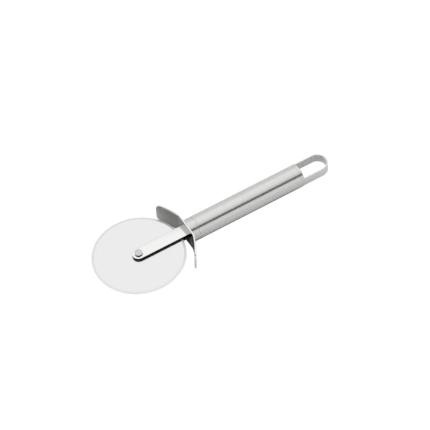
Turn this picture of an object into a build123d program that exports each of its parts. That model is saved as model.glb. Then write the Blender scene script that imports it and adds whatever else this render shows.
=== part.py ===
from build123d import *
from math import asin, degrees
import os

# Pizza cutter, all stainless steel: a round blade that spins on a rivet between two flat
# arms, a bent thumb guard, a tube handle closed by two plugs, and a bent hanging loop.
# The tool lies flat on a table. X runs from the blade to the loop, Y across and Z up, and
# the origin is on the table, under the middle of the tool. All lengths are millimetres.

# Blade
wheel_diameter = 70.0
wheel_thickness = 1.0
wheel_bevel_width = 2.2
wheel_edge_thickness = 0.16

# Axle rivet: a shoulder that the blade turns on, a neck through each arm, and two heads
shoulder_diameter = 5.0
neck_diameter = 4.0
rivet_head_diameter = 5.9
rivet_head_rim = 0.35
upper_head_crown = 0.75
lower_head_crown = 0.45
axle_clearance = 0.05

# Washers between the blade and the arms
washer_diameter = 9.0
washer_thickness = 0.4
washer_play = 0.05

# Fork arms, two flat bars with round front ends, set a little above the handle's axis
arm_width = 10.0
arm_thickness = 1.8
arm_edge_chamfer = 0.2
fork_rise = 1.1

# Thumb guard, one strip bent to an arc
rim_to_guard_gap = 4.6
guard_thickness = 1.1
guard_span = 58.0
guard_bend_radius = 48.4
guard_corner_radius = 3.5

# Handle
handle_diameter = 18.0
handle_wall = 1.0
tube_length = 88.1
collar_length = 6.8
collar_groove_width = 0.1
collar_groove_depth = 0.2
cap_rim_length = 2.4
front_plug_length = 12.0
rear_plug_length = 8.0
plug_clearance = 0.05
slot_clearance = 0.05
seam_chamfer = 0.2
cap_edge_radius = 0.6

# Hanging loop, one bent strip
loop_reach = 23.9
loop_strip_width = 7.6
loop_strip_thickness = 1.1
loop_edge_chamfer = 0.5
loop_inset = 0.8
loop_seat_depth = 1.5

# Extra length of a cutting body past the face that it cuts through
overrun = 1.0

# Places along the tool, from the blade's front edge back to the loop's end
wheel_radius = wheel_diameter / 2
handle_radius = handle_diameter / 2
guard_front = wheel_diameter + rim_to_guard_gap
collar_front = guard_front + guard_thickness
tube_front = collar_front + collar_length
tube_rear = tube_front + tube_length
cap_rear = tube_rear + cap_rim_length
overall_length = cap_rear + loop_reach
front_end = -overall_length / 2

# Heights: the handle lies on the table, and the blade runs a little above its axis
axis_height = handle_radius
half_gap = wheel_thickness / 2 + washer_thickness + washer_play
fork_half_height = half_gap + arm_thickness
arm_rear = tube_front + front_plug_length


def solid_of_turning(points):
    """Turns a closed outline of (radius, height) points about the vertical axis."""
    outline = Plane.XZ * make_face(Polyline(*points, close=True))
    return revolve(outline, Axis.Z)


def placed(shape, along, height=0):
    """Puts a shape at a distance behind the front end and a height from the handle's axis."""
    return Pos(front_end + along, 0, axis_height + height) * shape


def bar(front, rear, width, height):
    """A square bar from one place along the tool to another, level with the blade."""
    middle = (front + rear) / 2
    return placed(Box(rear - front, width, height), middle, fork_rise)


def barrel(front, rear, radius):
    """A round bar on the handle's axis, from one place along the tool to another."""
    middle = (front + rear) / 2
    return placed(Rot(0, 90, 0) * Cylinder(radius, rear - front), middle)


def wheel_blade():
    """A flat disc, ground on both sides to a thin round edge, with a bore for the rivet."""
    bore_radius = shoulder_diameter / 2 + axle_clearance
    land_radius = wheel_radius - wheel_bevel_width
    face = wheel_thickness / 2
    edge = wheel_edge_thickness / 2
    disc = solid_of_turning([
        (bore_radius, -face),
        (land_radius, -face),
        (wheel_radius, -edge),
        (wheel_radius, edge),
        (land_radius, face),
        (bore_radius, face),
    ])
    return placed(disc, wheel_radius, fork_rise)


def washer(side):
    """A thin ring that keeps the blade off an arm. Side is 1 above the blade and -1 below."""
    bore_radius = shoulder_diameter / 2 + axle_clearance
    ring = Cylinder(washer_diameter / 2, washer_thickness)
    ring -= Cylinder(bore_radius, washer_thickness + overrun)
    return placed(ring, wheel_radius, fork_rise + side * (wheel_thickness + washer_thickness) / 2)


def rivet_head(crown):
    """A low domed head whose flat underside lies on the origin."""
    radius = rivet_head_diameter / 2
    top = rivet_head_rim + crown
    dome_radius = (radius**2 + crown**2) / (2 * crown)
    outline = make_face([
        Line((0, 0), (radius, 0)),
        Line((radius, 0), (radius, rivet_head_rim)),
        RadiusArc((radius, rivet_head_rim), (0, top), -dome_radius),
        Line((0, top), (0, 0)),
    ])
    return revolve(Plane.XZ * outline, Axis.Z)


def axle_rivet():
    """The shoulder holds the arms apart, and the heads are set over their outer faces."""
    shoulder = Cylinder(shoulder_diameter / 2, 2 * half_gap)
    neck = Cylinder(neck_diameter / 2, 2 * fork_half_height)
    upper_head = Pos(0, 0, fork_half_height) * rivet_head(upper_head_crown)
    lower_head = Rot(180, 0, 0) * Pos(0, 0, fork_half_height) * rivet_head(lower_head_crown)
    return placed(shoulder + neck + upper_head + lower_head, wheel_radius, fork_rise)


def fork_arm(side):
    """A flat bar from the rivet into the handle. Side is 1 above the blade and -1 below."""
    length = arm_rear - wheel_radius
    outline = Pos(length / 2, 0) * Rectangle(length, arm_width) + Circle(arm_width / 2)
    arm = extrude(outline, arm_thickness / 2, both=True)
    outer_edges = arm.edges().group_by(Axis.Z)[-1]
    arm = chamfer(outer_edges, arm_edge_chamfer)
    arm -= Cylinder(neck_diameter / 2, arm_thickness + overrun)
    if side < 0:
        arm = Rot(180, 0, 0) * arm
    return placed(arm, wheel_radius, fork_rise + side * (half_gap + arm_thickness / 2))


def fork_tang_block():
    """The spacer that fills the gap between the arms where the handle holds them."""
    return bar(guard_front, arm_rear, arm_width, 2 * half_gap)


def fork_slot(front, rear):
    """The square opening that lets both arms and their spacer through a piece."""
    width = arm_width + 2 * slot_clearance
    height = 2 * (fork_half_height + slot_clearance)
    return bar(front - overrun, rear + overrun, width, height)


def guard_round(radius):
    """An upright round body on the axis that the guard is bent about."""
    height = 2 * (handle_radius + overrun)
    return placed(Cylinder(radius, height), guard_front - guard_bend_radius)


def thumb_guard():
    """A strip on the front of the collar. Its two wings curve forward beside the blade."""
    back_radius = guard_bend_radius + guard_thickness
    sweep = degrees(asin(guard_span / 2 / back_radius))
    inner = CenterArc((-guard_bend_radius, 0), guard_bend_radius, -sweep, 2 * sweep)
    back = CenterArc((-guard_bend_radius, 0), back_radius, -sweep, 2 * sweep)
    outline = make_face([inner, back, Line(inner @ 0, back @ 0), Line(inner @ 1, back @ 1)])
    strip = extrude(outline, handle_radius, both=True)
    tip_edges = strip.edges().filter_by(GeomType.LINE).filter_by(Axis.Z, reverse=True)
    strip = fillet(tip_edges, guard_corner_radius)
    return placed(strip, guard_front) - fork_slot(guard_front, collar_front)


def front_collar():
    """The handle's solid front end. A neck coped to the guard's back leaves a fine groove
    between them, and the plug is pressed into the tube."""
    bore_radius = handle_radius - handle_wall
    rim_front = collar_front + collar_groove_width
    neck = barrel(guard_front - guard_thickness, rim_front, handle_radius - collar_groove_depth)
    neck -= guard_round(guard_bend_radius + guard_thickness)
    rim = barrel(rim_front, tube_front, handle_radius)
    rim = chamfer(rim.edges().group_by(Axis.X)[-1], seam_chamfer)
    plug = barrel(tube_front, arm_rear, bore_radius - plug_clearance)
    return neck + rim + plug - fork_slot(collar_front, arm_rear)


def handle_tube():
    """The grip: a thin tube between the collar and the rear cap."""
    tube = barrel(tube_front, tube_rear, handle_radius)
    end_edges = tube.edges().group_by(Axis.X)[0] + tube.edges().group_by(Axis.X)[-1]
    tube = chamfer(end_edges, seam_chamfer)
    return tube - barrel(tube_front - overrun, tube_rear + overrun, handle_radius - handle_wall)


def loop_outline(inset):
    """Straight legs and a half-round end, drawn inside the loop's outer face by an inset."""
    radius = handle_radius - loop_inset - inset
    seat = cap_rear - loop_seat_depth
    end_centre = overall_length - inset - radius
    legs = Pos((seat + end_centre) / 2, 0) * Rectangle(end_centre - seat, 2 * radius)
    return legs + Pos(end_centre, 0) * Circle(radius)


def hanging_loop():
    """A strip bent round to hang the tool by. Its two ends are welded into the rear cap."""
    half_width = loop_strip_width / 2
    outside = extrude(loop_outline(0), half_width, both=True)
    long_edges = outside.edges().group_by(Axis.Z)[0] + outside.edges().group_by(Axis.Z)[-1]
    outside = chamfer(long_edges, loop_edge_chamfer)
    inside = extrude(loop_outline(loop_strip_thickness), half_width + overrun, both=True)
    return placed(outside - inside, 0)


def rear_cap():
    """The plug that closes the tube, with a seat for each end of the loop."""
    bore_radius = handle_radius - handle_wall
    rim = barrel(tube_rear, cap_rear, handle_radius)
    rim = fillet(rim.edges().group_by(Axis.X)[-1], cap_edge_radius)
    rim = chamfer(rim.edges().group_by(Axis.X)[0], seam_chamfer)
    plug = barrel(tube_rear - rear_plug_length, tube_rear, bore_radius - plug_clearance)
    return rim + plug - hanging_loop()


pieces = {
    "wheel_blade": wheel_blade(),
    "washer_upper": washer(1),
    "washer_lower": washer(-1),
    "axle_rivet": axle_rivet(),
    "fork_arm_upper": fork_arm(1),
    "fork_arm_lower": fork_arm(-1),
    "fork_tang_block": fork_tang_block(),
    "thumb_guard": thumb_guard(),
    "front_collar": front_collar(),
    "handle_tube": handle_tube(),
    "rear_cap": rear_cap(),
    "hanging_loop": hanging_loop(),
}

os.makedirs("parts", exist_ok=True)
for node, shape in pieces.items():
    export_step(shape, f"parts/{node}.step")
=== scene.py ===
import math

import bmesh
import bpy
from mathutils import Matrix, Vector


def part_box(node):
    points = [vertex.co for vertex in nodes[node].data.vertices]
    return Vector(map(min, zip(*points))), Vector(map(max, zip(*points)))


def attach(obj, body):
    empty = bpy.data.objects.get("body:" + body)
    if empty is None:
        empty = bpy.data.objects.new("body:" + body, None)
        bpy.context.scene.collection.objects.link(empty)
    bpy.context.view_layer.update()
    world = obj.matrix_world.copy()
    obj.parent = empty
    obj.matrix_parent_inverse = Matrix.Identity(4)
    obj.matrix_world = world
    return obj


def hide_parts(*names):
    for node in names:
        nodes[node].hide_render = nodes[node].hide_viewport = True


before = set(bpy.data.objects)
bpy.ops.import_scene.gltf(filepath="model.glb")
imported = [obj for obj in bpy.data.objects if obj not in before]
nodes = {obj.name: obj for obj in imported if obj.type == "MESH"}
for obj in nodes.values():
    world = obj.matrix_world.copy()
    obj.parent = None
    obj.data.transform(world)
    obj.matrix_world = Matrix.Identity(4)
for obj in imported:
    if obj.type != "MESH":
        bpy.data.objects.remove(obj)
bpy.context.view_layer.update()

# The blade
# A disc of hardened stainless steel, 70 mm across, stamped from sheet and polished to a fine
# satin on both faces. Both sides are then ground to a narrow bevel that meets in a thin edge.
MM = 0.001
blade_low, blade_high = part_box("wheel_blade")
axle = (blade_low + blade_high) / 2
blade_radius = (blade_high.x - blade_low.x) / 2
blade_half = (blade_high.z - blade_low.z) / 2
blade_bore = 2.55 * MM
bevel_width = 1.9 * MM
edge_half = 0.08 * MM
blade_sides = 192
# Points closer than this are one point. Faces that meet at more degrees than this stay sharp.
same_place = 0.001 * MM
sharp_angle = 30


def start(name, add, scale=(1, 1, 1), **how):
    """Adds a primitive as a new piece, puts its place in its mesh, and opens it for editing."""
    if bpy.context.mode != "OBJECT":
        bpy.ops.object.mode_set(mode="OBJECT")
    bpy.ops.object.select_all(action="DESELECT")
    add(**how)
    piece = bpy.context.object
    piece.name = name
    piece.data.name = name
    piece.scale = scale
    bpy.ops.object.transform_apply(location=True, rotation=True, scale=True)
    bpy.ops.object.mode_set(mode="EDIT")
    return piece


def select(kind, test):
    """Selects only the faces, edges or verts that pass a test."""
    bpy.ops.mesh.select_all(action="DESELECT")
    bpy.ops.mesh.select_mode(type={"verts": "VERT", "edges": "EDGE", "faces": "FACE"}[kind])
    mesh = bmesh.from_edit_mesh(bpy.context.object.data)
    mesh.normal_update()
    for part in getattr(mesh, kind):
        if test(part):
            part.select_set(True)
    mesh.select_flush_mode()
    bmesh.update_edit_mesh(bpy.context.object.data)


def middle(part):
    """The middle of a face or an edge."""
    return sum((vert.co for vert in part.verts), Vector()) / len(part.verts)


def turned(name, outline, centre, sides, closed=False):
    """Turns a piece on the upright axis through a centre, from (radius, height) points. A
    closed outline comes back to its first point, and an open one is filled at both ends."""
    radius, height = outline[0]
    fill = "NOTHING" if closed else "NGON"
    piece = start(name, bpy.ops.mesh.primitive_circle_add, vertices=sides, radius=radius,
                  fill_type=fill, location=centre + Vector((0, 0, height)))
    for next_radius, next_height in outline[1:] + (outline[:1] if closed else []):
        bpy.ops.mesh.extrude_edges_move(
            TRANSFORM_OT_translate={"value": (0, 0, next_height - height)})
        grow = next_radius / radius
        bpy.ops.transform.resize(
            value=(grow, grow, 1), center_override=centre + Vector((0, 0, next_height)))
        radius, height = next_radius, next_height
    if not closed:
        bpy.ops.mesh.edge_face_add()
    tidy()
    return piece


def tidy():
    """Merges doubled points and turns all faces outwards."""
    bpy.ops.mesh.select_all(action="SELECT")
    bpy.ops.mesh.remove_doubles(threshold=same_place)
    bpy.ops.mesh.normals_make_consistent(inside=False)


def close(piece, material, body, node, smooth=sharp_angle):
    """Ends the editing, smooths shading up to an angle, gives the piece its steel, its material
    slot and its body, and hides the node that it stands for."""
    bpy.ops.object.mode_set(mode="OBJECT")
    bpy.ops.object.select_all(action="DESELECT")
    piece.select_set(True)
    bpy.context.view_layer.objects.active = piece
    bpy.ops.object.shade_smooth_by_angle(angle=math.radians(smooth))
    piece.data.materials.append(material)
    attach(piece, body)
    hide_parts(node)


def linear(hex_colour):
    """Turns an sRGB hex colour such as D8D8D6 into linear red, green, blue and alpha."""
    channels = [int(hex_colour[i:i + 2], 16) / 255 for i in (0, 2, 4)]
    return [c / 12.92 if c <= 0.04045 else ((c + 0.055) / 1.055) ** 2.4 for c in channels] + [1]


def add_node(tree, kind, inputs=None, **settings):
    """Adds a shader node, sets its settings, and links or sets its inputs."""
    node = tree.nodes.new(kind)
    for name, value in settings.items():
        setattr(node, name, value)
    for name, value in (inputs or {}).items():
        if isinstance(value, bpy.types.NodeSocket):
            tree.links.new(value, node.inputs[name])
        else:
            node.inputs[name].default_value = value
    return node


def calculate(tree, operation, *values):
    """Adds a math node for some numbers or sockets, and returns its result."""
    return add_node(tree, "ShaderNodeMath", dict(enumerate(values)),
                    operation=operation).outputs[0]


def blend(tree, share, first, second, blend_type="MIX"):
    """Adds a colour mix from the first to the second by a share, and returns its result."""
    return add_node(tree, "ShaderNodeMix", {"Factor": share, "A": first, "B": second},
                    data_type="RGBA", blend_type=blend_type).outputs["Result"]


def new_material(name):
    """Starts an empty material and returns it with its node tree."""
    material = bpy.data.materials.new(name)
    material.use_nodes = True
    material.node_tree.nodes.clear()
    return material, material.node_tree


def vectors(tree, operation, *values):
    """Adds a vector math node, and returns it."""
    return add_node(tree, "ShaderNodeVectorMath", dict(enumerate(values)), operation=operation)


def steel(name, colours, roughness, strokes, stroke_depth, wear_size, place=(0, 0, 0),
          rings=False, anisotropic=0.0, tangent_axis="Z", rotation=0.0):
    """A stainless steel whose finishing strokes are drawn stroke by stroke. Strokes gives the
    length of one along X, Y and Z in millimetres, or how far apart the strokes are where they
    are rings about a place. Each stroke is a little lighter or darker and rougher or smoother
    than its neighbours. Wider cloudy patches show where hands and cloths have rubbed it."""
    material, tree = new_material(name)
    where = add_node(tree, "ShaderNodeTexCoord").outputs["Object"]
    where = add_node(tree, "ShaderNodeMapping", {
        "Vector": where, "Location": -Vector(place) / MM,
        "Scale": Vector((1, 1, 1)) / MM}).outputs[0]
    lay = where
    if rings:
        flat = vectors(tree, "MULTIPLY", where, (1, 1, 0)).outputs[0]
        distance = vectors(tree, "LENGTH", flat).outputs["Value"]
        heading = vectors(tree, "NORMALIZE", flat).outputs[0]
        turns = add_node(tree, "ShaderNodeSeparateXYZ", {0: heading})
        lay = add_node(tree, "ShaderNodeCombineXYZ", {
            0: distance, 1: turns.outputs[0], 2: turns.outputs[1]}).outputs[0]
    sized = vectors(tree, "MULTIPLY", lay, tuple(1 / length for length in strokes))
    stroke = add_node(tree, "ShaderNodeTexNoise", {
        "Vector": sized.outputs[0], "Scale": 1.0, "Detail": 3.0, "Roughness": 0.6}).outputs[0]
    wear = add_node(tree, "ShaderNodeTexNoise", {
        "Vector": where, "Scale": 1 / wear_size, "Detail": 2.0}).outputs[0]
    tone = blend(tree, stroke, linear(colours[0]), linear(colours[1]))
    # The two noises add up to between 0.7 and 1.3 nearly everywhere.
    gloss = add_node(tree, "ShaderNodeMapRange", {
        "Value": calculate(tree, "ADD", stroke, wear), "From Min": 0.7, "From Max": 1.3,
        "To Min": roughness[0], "To Max": roughness[1]})
    relief = add_node(tree, "ShaderNodeBump", {
        "Height": stroke, "Distance": stroke_depth * MM, "Strength": 1.0})
    shader = add_node(tree, "ShaderNodeBsdfPrincipled", {
        "Base Color": tone, "Metallic": 1.0, "Roughness": gloss.outputs[0],
        "Anisotropic": anisotropic, "Anisotropic Rotation": rotation,
        "Normal": relief.outputs[0]})
    if anisotropic:
        tangent = add_node(
            tree, "ShaderNodeTangent", direction_type="RADIAL", axis=tangent_axis)
        tree.links.new(tangent.outputs[0], shader.inputs["Tangent"])
    add_node(tree, "ShaderNodeOutputMaterial", {"Surface": shader.outputs[0]})
    return material


# Polished in rings about the axle. The real scratches are about 0.05 mm apart, and are drawn
# 0.5 mm apart so that they show: the eye sees an even pale grey with a faint turning sheen.
satin = steel("ring-polished stainless steel", ("D6D6D6", "DDDDDD"), (0.12, 0.17),
              (0.5, 0.5, 0.5), 0.0006, 30, place=axle, rings=True)
# The bevel is left as the grinding wheel leaves it, duller than the face: the eye sees a thin
# soft grey ring round the blade. Its scratches are drawn 0.3 mm apart so that they show.
ground = steel("ground stainless steel", ("D8D8D8", "E3E3E3"), (0.44, 0.5),
               (0.3, 0.2, 0.2), 0.001, 20, place=axle, rings=True)

blade_land = blade_radius - bevel_width
blade = turned("cutting_blade", [
    (blade_bore, -blade_half), (blade_land, -blade_half), (blade_radius, -edge_half),
    (blade_radius, edge_half), (blade_land, blade_half), (blade_bore, blade_half),
], axle, blade_sides, closed=True)
# The bevel meets the face at 13 degrees, so a smaller angle keeps that line crisp.
close(blade, satin, "wheel", "wheel_blade", smooth=5)
blade.data.materials.append(ground)
for face in blade.data.polygons:
    if (face.center - axle).length > blade_land:
        face.material_index = 1

# The washers
# Two thin rings of rolled stainless steel that run between the blade and the arms. Only their
# rims show, in the narrow gap, so they keep their solids' plain shape.
# The steel is dull as it was rolled, and its grey is painted near black as painted shade for
# the narrow gap: the eye sees only a dark line there.
rolled_painted_shade = steel("rolled stainless steel", ("303030", "3C3C3B"), (0.3, 0.4),
               (2, 0.2, 0.2), 0.001, 10)


def dress(name, material):
    """Gives a CAD node its steel, and shades its round faces smooth and its edges sharp."""
    node = nodes[name]
    node.data.materials.clear()
    node.data.materials.append(material)
    node.data.shade_smooth()
    weld = node.modifiers.new("weld", "WELD")
    weld.merge_threshold = same_place
    split = node.modifiers.new("split", "EDGE_SPLIT")
    split.split_angle = math.radians(sharp_angle)


for name in ("washer_upper", "washer_lower"):
    dress(name, rolled_painted_shade)

# The axle rivet
# One turned pin of stainless steel. The blade runs on its thick shoulder, a neck passes each
# arm, and the two ends are set into low domed heads that hold the arms.
rivet_low, rivet_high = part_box("axle_rivet")
arm_low, arm_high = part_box("fork_arm_upper")
head_radius = (rivet_high.x - rivet_low.x) / 2
upper_rim = 1.2 * MM
lower_rim = 0.6 * MM
head_round = 0.1 * MM
arm_thickness = 1.5 * MM
arm_under = arm_low.z - axle.z
arm_top = arm_under + arm_thickness
shoulder_radius = 2.5 * MM
neck_radius = 2.0 * MM
rivet_sides = 64
dome_steps = 8


def dome(rim, height):
    """The outline of a head from its flat underside to near its middle, as (radius, height)
    points: an upright rim, a small round and a part of a ball."""
    crown = height - rim
    ball = (head_radius ** 2 + crown ** 2) / (2 * crown)
    points = [(head_radius, 0), (head_radius, rim - head_round)]
    for step in range(1, dome_steps + 1):
        radius = (head_radius - head_round) * (1 - step / (dome_steps + 0.5))
        points.append((radius, rim + math.sqrt(ball ** 2 - radius ** 2) - ball + crown))
    return points


upper_dome = dome(upper_rim, rivet_high.z - axle.z - arm_top)
lower_dome = dome(lower_rim, axle.z - rivet_low.z - arm_top)
outline = [(radius, -arm_top - height) for radius, height in reversed(lower_dome)]
outline += [(neck_radius, -arm_top), (neck_radius, -arm_under), (shoulder_radius, -arm_under)]
outline += [(shoulder_radius, arm_under), (neck_radius, arm_under), (neck_radius, arm_top)]
outline += [(radius, arm_top + height) for radius, height in upper_dome]
# Turned and then set with a press: a soft grey sheen that the polished arm doesn't have.
pressed = steel("pressed stainless steel", ("BBBBBA", "C9C9C8"), (0.24, 0.3),
                (0.2, 0.3, 0.3), 0.001, 4, place=axle, rings=True)
rivet = turned("axle_pin", outline, axle, rivet_sides)
close(rivet, pressed, "frame", "axle_rivet")

# The fork arms
# Two flat bars of stainless steel with round front ends, cut from strip, polished on their
# faces and riveted through. Their rear ends go through the guard into the handle.
arm_width = arm_high.y - arm_low.y
arm_length = arm_high.x - arm_low.x
end_segments = 32
edge_round = 0.28 * MM
# Faces that are steeper than these, by the upright part of their normal, are the arms' cut
# sides and the rims of the rivet's heads, which get painted shade.
arm_cut_slope = 0.8
rim_cut_slope = 0.3


def round_edges(width, angle=sharp_angle):
    """Rounds every edge that is sharper than an angle in degrees."""
    bpy.ops.object.mode_set(mode="OBJECT")
    piece = bpy.context.object
    bevel = piece.modifiers.new("rounded edges", "BEVEL")
    bevel.width = width
    bevel.segments = 3
    bevel.limit_method = "ANGLE"
    bevel.angle_limit = math.radians(angle)
    bpy.ops.object.modifier_apply(modifier=bevel.name)
    bpy.ops.object.mode_set(mode="EDIT")


def cut(piece, cutter):
    """Cuts a second piece's shape out of a piece, and removes the second one."""
    bpy.ops.object.mode_set(mode="OBJECT")
    bpy.ops.object.select_all(action="DESELECT")
    piece.select_set(True)
    bpy.context.view_layer.objects.active = piece
    hole = piece.modifiers.new("hole", "BOOLEAN")
    hole.operation = "DIFFERENCE"
    hole.solver = "EXACT"
    hole.object = cutter
    bpy.ops.object.modifier_apply(modifier=hole.name)
    bpy.data.objects.remove(cutter)
    bpy.ops.object.mode_set(mode="EDIT")


# The faces are polished along the bar: the eye sees a bright, nearly clear reflection. The real
# hairlines are under 0.1 mm apart, and are drawn 0.4 mm apart so that they show.
polished = steel("lengthwise-polished stainless steel", ("DDDDDC", "E3E3E2"), (0.07, 0.11),
                 (14, 0.4, 0.4), 0.0003, 25)
# The cut sides are dull as the shear leaves them, and their grey is painted near black, painted
# shade beside the polished faces.
sheared_painted_shade = steel("sheared stainless steel", ("141414", "1E1E1E"), (0.32, 0.42),
                (0.3, 0.3, 1.5), 0.0015, 8)
for name, node, side in (("upper_arm", "fork_arm_upper", 1),
                         ("lower_arm", "fork_arm_lower", -1)):
    low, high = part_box(node)
    middle_height = axle.z + side * (arm_under + arm_top) / 2
    arm = start(name, bpy.ops.mesh.primitive_cube_add, size=1,
                location=((low.x + high.x) / 2, 0, middle_height),
                scale=(arm_length, arm_width, arm_thickness))
    select("edges", lambda edge: middle(edge).x < low.x + same_place
           and abs(edge.verts[0].co.z - edge.verts[1].co.z) > arm_thickness / 2)
    bpy.ops.mesh.bevel(offset=arm_width / 2 - same_place, segments=end_segments, affect="EDGES")
    tidy()
    round_edges(edge_round)
    pin = start("pin_hole", bpy.ops.mesh.primitive_cylinder_add, vertices=rivet_sides,
                radius=neck_radius, depth=4 * arm_thickness, location=axle)
    cut(arm, pin)
    tidy()
    close(arm, polished, "frame", node)
    # The cut sides take the second slot: dull steel painted near black as painted shade.
    arm.data.materials.append(sheared_painted_shade)
    for face in arm.data.polygons:
        if abs(face.normal.z) < arm_cut_slope:
            face.material_index = 1
# The rims of the rivet's heads get the same dull steel, painted near black as painted shade: a
# dark crescent under each head.
rivet.data.materials.append(sheared_painted_shade)
for face in rivet.data.polygons:
    if abs(face.normal.z) < rim_cut_slope and abs(face.center.z - axle.z) > arm_top:
        face.material_index = 1

# The spacer block
# A plain block of rolled steel between the two arms, welded to them, from the guard to the end
# of the handle's plug. Only its front end shows, deep between the arms.
# Its steel is painted near black, painted shade for its place deep between the arms.
dress("fork_tang_block", rolled_painted_shade)

# The thumb guard
# A strip of stainless steel with rounded corners, polished on both faces. Its middle is flat
# against the handle's collar, and its two wings are bent forward beside the blade. The arms
# pass through a slot in its middle.
guard_low, guard_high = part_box("thumb_guard")
guard_thickness = 1.1 * MM
guard_lean = 0.052
guard_height = guard_high.z - guard_low.z - guard_thickness * guard_lean
guard_corner = 5.0 * MM
corner_steps = 12
guard_edge = 0.25 * MM
# Only edges that are sharper than this are eased on the bent strips, not the steps of a bend.
strip_angle = 50
flat_half = 9.05 * MM
fold_radius = 10.0 * MM
fold_angle = 0.33
wing_radius = 68.5 * MM
wing_angle = 0.277
fold_steps = 8
wing_steps = 16
# A face belongs to a strip's shaded side, which gets painted shade, when its normal is this
# near to that side.
facing = 0.7
# The middle of the strip, the way straight through it as it leans, and its front and back top
# edges.
guard_place = Vector((-22.78 * MM, 0, guard_high.z - guard_height / 2))
guard_square = Vector((math.cos(guard_lean), 0, -math.sin(guard_lean)))
guard_top = Vector((guard_place.x - guard_thickness / 2, 0, guard_high.z))
guard_back = guard_top + guard_thickness * guard_square
slot_gap = 0.05 * MM


def fork_opening():
    """A box a little larger than the two arms, to cut the opening that they pass through."""
    return start("fork_opening", bpy.ops.mesh.primitive_cube_add, size=1,
                 location=((arm_low.x + arm_high.x) / 2, 0, axle.z),
                 scale=(arm_length, arm_width + 2 * slot_gap, 2 * (arm_top + slot_gap)))


# The flat blank gets its corners and eased edges, and leans a little, with its lower edge in
# front. Then it is bent forward step by step, from each tip to the middle.
wing_start = flat_half + fold_radius * fold_angle
blank_half = wing_start + wing_radius * wing_angle
guard = start("bent_guard", bpy.ops.mesh.primitive_cube_add, size=1,
              scale=(guard_thickness, 2 * blank_half, guard_height))
select("edges", lambda edge: abs(middle(edge).y) > blank_half - same_place
       and abs(middle(edge).z) > guard_height / 2 - same_place)
bpy.ops.mesh.bevel(offset=guard_corner, segments=corner_steps, affect="EDGES")
round_edges(guard_edge, strip_angle)
bpy.ops.mesh.select_all(action="SELECT")
bpy.ops.transform.rotate(value=-guard_lean, orient_axis="Y",
                         center_override=guard_top - guard_place)
folds = []
for step in range(wing_steps):
    folds.append((wing_start + wing_radius * wing_angle * step / wing_steps,
                  wing_angle / wing_steps))
for step in range(fold_steps):
    folds.append((flat_half + fold_radius * fold_angle * step / fold_steps,
                  fold_angle / fold_steps))
folds.sort(reverse=True)
for along, angle in folds:
    for side in (1, -1):
        bpy.ops.mesh.select_all(action="SELECT")
        bpy.ops.mesh.bisect(plane_co=(0, side * along, 0), plane_no=(0, 1, 0))
        select("verts", lambda vert: side * vert.co.y > along + same_place)
        bpy.ops.transform.rotate(value=-side * angle, orient_axis="Z",
                                 center_override=(0, side * along, 0))
bpy.ops.mesh.select_all(action="SELECT")
bpy.ops.transform.translate(value=guard_place)
tidy()
cut(guard, fork_opening())
tidy()
# Polished across the strip before it was bent. The hairlines are drawn 0.4 mm apart here too.
# The eye sees a grey mirror in front, whose darker grey is painted shade, and a back and edges
# that are as bright as the arms.
guard_front_painted_shade = steel("cross-polished stainless steel, painted shade in front", ("A8A8A7", "B4B4B3"), (0.1, 0.14),
               (0.4, 0.4, 9), 0.0003, 25)
close(guard, guard_front_painted_shade, "frame", "thumb_guard")
# The back and edges take the arms' brighter steel; only the front keeps the darker grey of
# painted shade.
guard.data.materials.append(polished)
for face in guard.data.polygons:
    if face.normal.x > -facing:
        face.material_index = 1

# The handle's collar, tube and rear cap
# A thin tube of stainless steel, closed by two turned plugs whose rims carry on its outside.
# All three are brushed together, with a fine belt that runs round the handle.
collar_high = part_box("front_collar")[1]
tube_low, tube_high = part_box("handle_tube")
cap_low, cap_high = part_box("rear_cap")
loop_low, loop_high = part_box("hanging_loop")
handle_radius = (tube_high.z - tube_low.z) / 2
handle_axis = Vector((0, 0, (tube_high.z + tube_low.z) / 2))
tube_wall = 1.0 * MM
plug_gap = 0.05 * MM
bore_radius = handle_radius - tube_wall
plug_radius = bore_radius - plug_gap
seam = 0.16 * MM
handle_sides = 128


def along_handle(piece):
    """Lays a piece that was turned upright down along the handle's axis."""
    bpy.ops.mesh.select_all(action="SELECT")
    bpy.ops.object.mode_set(mode="OBJECT")
    piece.matrix_world = Matrix.Translation(handle_axis) @ Matrix.Rotation(math.pi / 2, 4, "Y")
    bpy.ops.object.transform_apply(location=True, rotation=True, scale=True)
    bpy.ops.object.mode_set(mode="EDIT")


# The belt's scratches run round the handle. They are about 0.1 mm apart on the real one, and
# are drawn 1 mm apart so that the eye sees fine cross lines in the long soft reflections.
brushed = steel("brushed stainless steel", ("C2C2C0", "D8D8D6"), (0.26, 0.29),
                (1.0, 5, 5), 0.0018, 22, anisotropic=0.7, tangent_axis="X", rotation=0.25)

tube = turned("grip_tube", [
    (bore_radius, tube_low.x), (handle_radius - seam, tube_low.x),
    (handle_radius, tube_low.x + seam), (handle_radius, tube_high.x - seam),
    (handle_radius - seam, tube_high.x), (bore_radius, tube_high.x),
], Vector(), handle_sides, closed=True)
along_handle(tube)
tidy()
close(tube, brushed, "frame", "handle_tube")

collar = turned("guard_collar", [
    (handle_radius, guard_low.x), (handle_radius, tube_low.x - seam),
    (handle_radius - seam, tube_low.x), (plug_radius, tube_low.x), (plug_radius, collar_high.x),
], Vector(), handle_sides)
along_handle(collar)
# The collar's front is cut flat to the back of the leaning guard.
bpy.ops.mesh.select_all(action="SELECT")
bpy.ops.mesh.bisect(plane_co=guard_back, plane_no=guard_square, use_fill=True,
                    clear_inner=True)
tidy()
cut(collar, fork_opening())
tidy()
close(collar, brushed, "frame", "front_collar")

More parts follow.
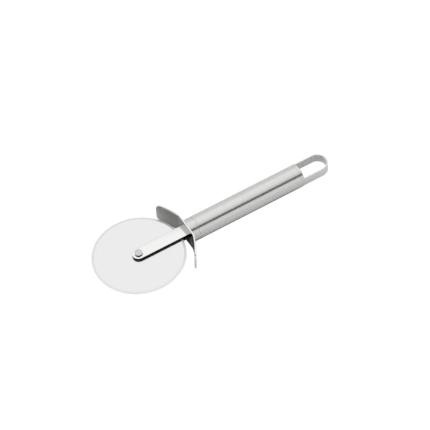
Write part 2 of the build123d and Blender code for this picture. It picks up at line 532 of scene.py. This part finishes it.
cap_round = 0.6 * MM
cap_steps = 6
cap_outline = [(plug_radius, cap_low.x), (plug_radius, tube_high.x)]
cap_outline += [(handle_radius - seam, tube_high.x), (handle_radius, tube_high.x + seam)]
for step in range(cap_steps + 1):
    turn = math.pi / 2 * step / cap_steps
    cap_outline.append((handle_radius - cap_round * (1 - math.cos(turn)),
                        cap_high.x - cap_round * (1 - math.sin(turn))))
cap = turned("end_cap", cap_outline, Vector(), handle_sides)
along_handle(cap)
tidy()

# The hanging loop
# A flat strip of stainless steel bent round into a long U. Its two ends sit in the rear cap and
# are welded there, and its long edges are eased so that it feels smooth on a finger.
strip_thickness = 1.1 * MM
strip_width = loop_high.z - loop_low.z
strip_radius = (loop_high.y - loop_low.y) / 2 - strip_thickness / 2
strip_round = 0.32 * MM
bend_steps = 48
bend_middle = Vector((loop_high.x - strip_thickness / 2 - strip_radius, 0, handle_axis.z))
leg = Vector((bend_middle.x - loop_low.x, 0, 0))


def loop_strip(name):
    """The bent strip, from its near end in the cap round to its far end."""
    strip = start(name, bpy.ops.mesh.primitive_plane_add, size=1,
                  location=(loop_low.x, -strip_radius, handle_axis.z),
                  rotation=(math.pi / 2, 0, math.pi / 2),
                  scale=(strip_thickness, strip_width, 1))
    bpy.ops.mesh.extrude_region_move(TRANSFORM_OT_translate={"value": leg})
    bpy.ops.mesh.spin(steps=bend_steps, angle=-math.pi, center=bend_middle, axis=(0, 0, 1))
    bpy.ops.mesh.extrude_region_move(TRANSFORM_OT_translate={"value": -leg})
    tidy()
    round_edges(strip_round, strip_angle)
    tidy()
    return strip


cut(cap, loop_strip("loop_seat"))
tidy()
close(cap, brushed, "frame", "rear_cap")
# Rubbed along the strip with a fine pad: the eye sees a soft even grey with faint lengthwise
# lines. They are drawn 0.3 to 0.4 mm apart so that they show.
padded = steel("satin stainless steel", ("D2D2D1", "D8D8D7"), (0.22, 0.25),
               (6, 0.4, 0.3), 0.00006, 12)
loop = loop_strip("loop")
close(loop, padded, "frame", "hanging_loop")
# The inside of the bend is a little rougher, and its grey is painted darker as painted shade
# where the two legs face each other.
inside = steel("bend-inside stainless steel, painted shade", ("C0C0BF", "C6C6C5"), (0.26, 0.3),
               (3, 0.4, 0.3), 0.00006, 12)
loop.data.materials.append(inside)
for face in loop.data.polygons:
    out = face.center - bend_middle
    out.x = max(out.x, 0)
    if face.normal.dot(out.normalized()) < -facing:
        face.material_index = 1

# The floor
# A sheet of plain white card under the tool. It shows white to the camera and keeps a faint
# shadow. The steel mirrors it as pale card, and darker close to the tool, in its own shade.
floor_size = 4.0
floor_drop = 0.2 * MM
shade_reach = 10.5 * MM
shade_samples = 16
shade_full, shade_none = 0.3, 0.62
# How much of the card's look is a white glow: nearly all to the camera, a little in the steel.
camera_share = 0.95
mirror_share = 0.1
bpy.ops.object.select_all(action="DESELECT")
bpy.ops.mesh.primitive_plane_add(size=floor_size, location=(0, 0, -floor_drop))
floor = bpy.context.object
floor.name = "white_card"
card, tree = new_material("white card")
ray = add_node(tree, "ShaderNodeLightPath").outputs
nearness = add_node(tree, "ShaderNodeAmbientOcclusion", {"Distance": shade_reach},
                    samples=shade_samples)
openness = add_node(tree, "ShaderNodeMapRange", {
    "Value": nearness.outputs["AO"], "From Min": shade_full,
    "From Max": shade_none}).outputs[0]
in_steel = blend(tree, ray["Is Glossy Ray"], (1, 1, 1, 1), openness)
pale = blend(tree, 1.0, linear("F4F4F4"), in_steel, blend_type="MULTIPLY")
diffuse = add_node(tree, "ShaderNodeBsdfDiffuse", {"Color": pale})
white = add_node(tree, "ShaderNodeEmission", {"Color": linear("FFFFFF"), "Strength": 1.05})
to_camera = calculate(tree, "MULTIPLY", ray["Is Camera Ray"], camera_share)
to_steel = calculate(tree, "MULTIPLY", ray["Is Glossy Ray"], mirror_share)
to_steel = calculate(tree, "MULTIPLY", to_steel, openness)
mixed = add_node(tree, "ShaderNodeMixShader", {
    0: calculate(tree, "MAXIMUM", to_camera, to_steel),
    1: diffuse.outputs[0], 2: white.outputs[0]})
add_node(tree, "ShaderNodeOutputMaterial", {"Surface": mixed.outputs[0]})
floor.data.materials.append(card)

# The light
# A light tent: pale all round, brightest overhead, with the dark opening that the camera
# looks through on the near side. Heights over the near side are in degrees, from the near
# horizon at 0 up over the top at 90 to the far horizon at 180.
tent_levels = [(0, 0.98), (27, 1.02), (60, 1.0), (85, 1.12), (100, 1.22), (130, 1.2),
               (145, 1.0), (160, 0.92), (180, 0.95)]
# The opening's lower and upper edges are sines of a height, and its left and right edges are
# angles. Each edge fades over its own softness, and the opening rises a little to one side.
opening_low, opening_high, opening_height_soft = 0.57, 0.81, 0.05
opening_left, opening_right = math.radians(-110), math.radians(75)
opening_side_soft = 0.2
opening_rise = 0.04
world = bpy.data.worlds.new("light tent")
bpy.context.scene.world = world
world.use_nodes = True
tree = world.node_tree
tree.nodes.clear()
direction = add_node(tree, "ShaderNodeTexCoord")
axes = add_node(tree, "ShaderNodeSeparateXYZ", {0: direction.outputs["Generated"]}).outputs
near = calculate(tree, "MULTIPLY", axes["Y"], -1.0)
over = calculate(tree, "DIVIDE", calculate(tree, "ARCTAN2", axes["Z"], near), math.pi)
tent = add_node(tree, "ShaderNodeValToRGB", {0: over})
ramp = tent.color_ramp
while len(ramp.elements) < len(tent_levels):
    ramp.elements.new(0.5)
for element, (degrees, level) in zip(ramp.elements, tent_levels):
    element.position = degrees / 180
    element.color = (level, level, level, 1)
azimuth = calculate(tree, "ARCTAN2", axes["X"], near)


def window(value, low, high, soft):
    """1 between low and high, falling to 0 over the soft width on each side."""
    rise = add_node(tree, "ShaderNodeMapRange", {
        "Value": value, "From Min": low - soft, "From Max": low + soft},
        interpolation_type="SMOOTHSTEP")
    fall = add_node(tree, "ShaderNodeMapRange", {
        "Value": value, "From Min": high - soft, "From Max": high + soft,
        "To Min": 1.0, "To Max": 0.0}, interpolation_type="SMOOTHSTEP")
    return calculate(tree, "MULTIPLY", rise.outputs[0], fall.outputs[0])


slope = calculate(tree, "MULTIPLY_ADD", azimuth, opening_rise, axes["Z"])
opening = calculate(
    tree, "MULTIPLY", window(slope, opening_low, opening_high, opening_height_soft),
    window(azimuth, opening_left, opening_right, opening_side_soft))
shown = blend(tree, opening, tent.outputs[0], linear("202020"))
path = add_node(tree, "ShaderNodeLightPath")
pale = blend(tree, path.outputs["Is Camera Ray"], shown, linear("FFFFFF"))
sky = add_node(tree, "ShaderNodeBackground", {"Color": pale, "Strength": 1.0})
add_node(tree, "ShaderNodeOutputWorld", {"Surface": sky.outputs[0]})

# The camera
# It looks down on the tool from the near side, far enough away that the handle hardly tapers.
# Its directions, its place and its focal length were fitted to the outlines in the photo.
camera_right = Vector((0.85962, -0.50619, -0.06942))
camera_up = Vector((0.43730, 0.65865, 0.61233))
camera_back = Vector((-0.26423, -0.55673, 0.78755))
camera_place = axle + Vector((-388.40808, -955.14928, 1353.07603)) * MM
focal_pixels = 2321.75
picture_pixels = 430
sensor_width = 36.0
camera_data = bpy.data.cameras.new("camera")
camera_data.sensor_width = sensor_width
camera_data.lens = focal_pixels / picture_pixels * sensor_width
camera = bpy.data.objects.new("camera", camera_data)
bpy.context.scene.collection.objects.link(camera)
turn = Matrix((camera_right, camera_up, camera_back)).transposed()
camera.matrix_world = Matrix.Translation(camera_place) @ turn.to_4x4()
bpy.context.scene.camera = camera
bpy.context.scene.view_settings.view_transform = "Standard"
